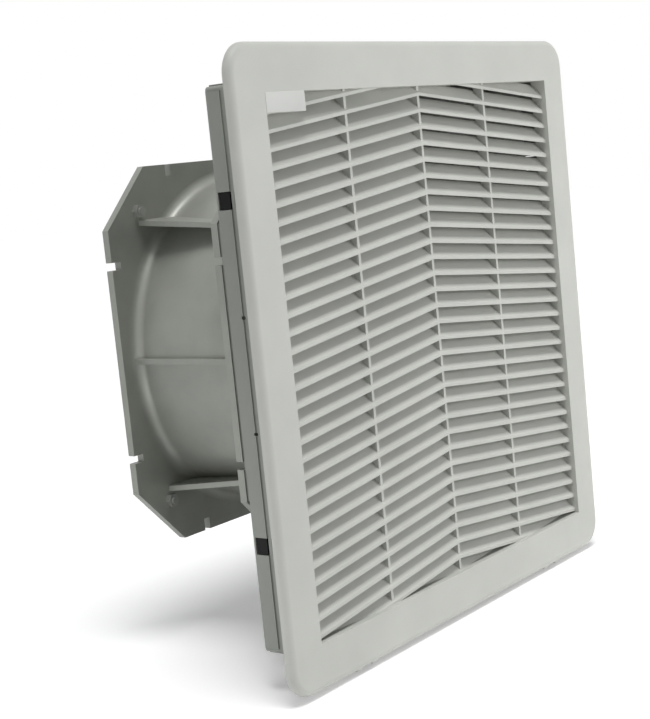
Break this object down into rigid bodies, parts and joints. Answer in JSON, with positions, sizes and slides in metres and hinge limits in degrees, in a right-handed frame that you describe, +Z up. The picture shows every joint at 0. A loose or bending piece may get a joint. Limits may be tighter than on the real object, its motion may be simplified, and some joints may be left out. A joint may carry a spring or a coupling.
{
  "type": "enclosure filter fan",
  "caption": "Square louvred filter fan for a cabinet wall: hinged front cover with sloping chevron louvres, snap-in mounting frame with a filter mat, and an axial fan in a round duct behind.",
  "frame": {"origin": "centre of the square panel cut-out, in the plane of the panel's outer face, which the frame's flange rests on", "axes": "+Y goes into the enclosure, so the louvres face -Y; +Z is up when fitted; +X is the viewer's right when facing the louvres"},
  "size_m": [0.325, 0.155, 0.325],
  "materials": {
    "cover_plastic": "fine satin texture",
    "badge_plastic": "smooth, blank",
    "frame_plastic": "satin, moulded",
    "gasket_foam": "soft closed-cell foam",
    "mat_fibre": "loose bonded fibre",
    "clip_plastic": "satin black",
    "housing_alloy": "die-cast, satin",
    "carrier_alloy": "machined, satin",
    "screw_steel": "zinc plated",
    "guard_wire": "bright plated wire",
    "core_steel": "stacked laminations",
    "winding_copper": "enamelled copper wire",
    "bearing_steel": "polished",
    "shaft_steel": "ground",
    "spring_steel": "blued",
    "rotor_paint": "satin black",
    "terminal_plastic": "smooth",
    "terminal_brass": "plain",
    "capacitor_plastic": "smooth",
    "lead_sheath": "satin black"
  },
  "bodies": {
    "frame": {"mounting_frame": "frame_plastic", "panel_gasket": "gasket_foam", "filter_mat": "mat_fibre", "mat_grid": "frame_plastic", "fan_housing": "housing_alloy", "housing_screws": "screw_steel", "rear_guard": "guard_wire", "guard_screws": "screw_steel", "guard_nuts": "screw_steel", "stator_carrier": "carrier_alloy", "carrier_screws": "screw_steel", "stator_core": "core_steel", "stator_winding": "winding_copper", "front_bearing": "bearing_steel", "rear_bearing": "bearing_steel", "terminal_block": "terminal_plastic", "terminal_screws": "terminal_brass", "block_screws": "screw_steel", "run_capacitor": "capacitor_plastic", "capacitor_strap": "screw_steel", "capacitor_lead": "lead_sheath", "earth_screw": "terminal_brass", "lead_grommet": "lead_sheath", "motor_lead": "lead_sheath"},
    "cover": {"front_cover": "cover_plastic", "badge_plate": "badge_plastic", "hinge_pins": "screw_steel"},
    "rotor": {"rotor_cup": "rotor_paint", "rotor_core": "core_steel", "impeller": "rotor_paint", "motor_shaft": "shaft_steel", "shaft_circlip": "spring_steel"},
    "clip_left_upper": {"clip_left_upper": "clip_plastic"},
    "clip_left_lower": {"clip_left_lower": "clip_plastic"},
    "clip_right_upper": {"clip_right_upper": "clip_plastic"},
    "clip_right_lower": {"clip_right_lower": "clip_plastic"}
  },
  "joints": [
    {"name": "cover_hinge", "type": "hinge", "parent": "frame", "child": "cover", "pos_m": [0, -0.0023, -0.1609], "axis": [1, 0, 0], "range_deg": [0, 90]},
    {"name": "fan_spin", "type": "hinge", "parent": "frame", "child": "rotor", "pos_m": [0, 0.1, 0], "axis": [0, 1, 0], "continuous": true},
    {"name": "clip_left_upper_flex", "type": "hinge", "parent": "frame", "child": "clip_left_upper", "pos_m": [-0.1419, 0.021, 0.0877], "axis": [0, 0, 1], "range_deg": [0, 6], "stiffness_Nm_per_rad": 0.2},
    {"name": "clip_left_lower_flex", "type": "hinge", "parent": "frame", "child": "clip_left_lower", "pos_m": [-0.1419, 0.021, -0.0877], "axis": [0, 0, 1], "range_deg": [0, 6], "stiffness_Nm_per_rad": 0.2},
    {"name": "clip_right_upper_flex", "type": "hinge", "parent": "frame", "child": "clip_right_upper", "pos_m": [0.1419, 0.021, 0.0877], "axis": [0, 0, -1], "range_deg": [0, 6], "stiffness_Nm_per_rad": 0.2},
    {"name": "clip_right_lower_flex", "type": "hinge", "parent": "frame", "child": "clip_right_lower", "pos_m": [0.1419, 0.021, -0.0877], "axis": [0, 0, -1], "range_deg": [0, 6], "stiffness_Nm_per_rad": 0.2}
  ]
}
